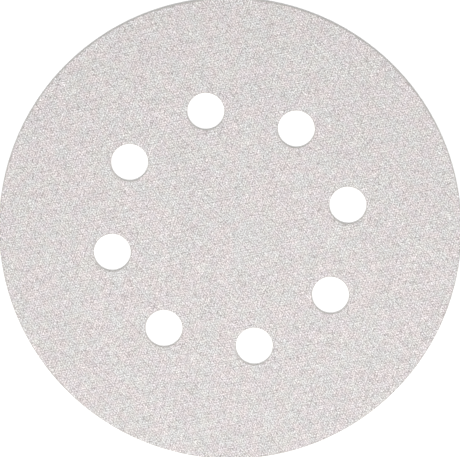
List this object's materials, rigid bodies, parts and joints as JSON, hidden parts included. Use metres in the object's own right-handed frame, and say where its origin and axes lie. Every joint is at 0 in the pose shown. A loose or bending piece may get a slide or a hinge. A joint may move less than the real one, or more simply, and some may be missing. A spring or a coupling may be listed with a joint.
{
  "type": "hook and loop sanding disc",
  "caption": "Round sanding disc of grain-coated paper with a loop-fabric back that presses onto a sander's hook pad, and a circle of dust extraction holes.",
  "frame": {"origin": "centre of the disc on the tips of the loops, the face that it rests on", "axes": "+Z out of the grain face, along the disc's axis; +X through the centre of one dust hole"},
  "size_m": [0.125, 0.125, 0.0011],
  "materials": {
    "abrasive_sheet": "pale warm grey abrasive grain in resin on paper, matt and gritty",
    "loop_fabric": "off-white brushed knit with a pile of fine loops"
  },
  "bodies": {
    "root": {"abrasive_sheet": "abrasive_sheet", "loop_backing": "loop_fabric"}
  },
  "joints": []
}
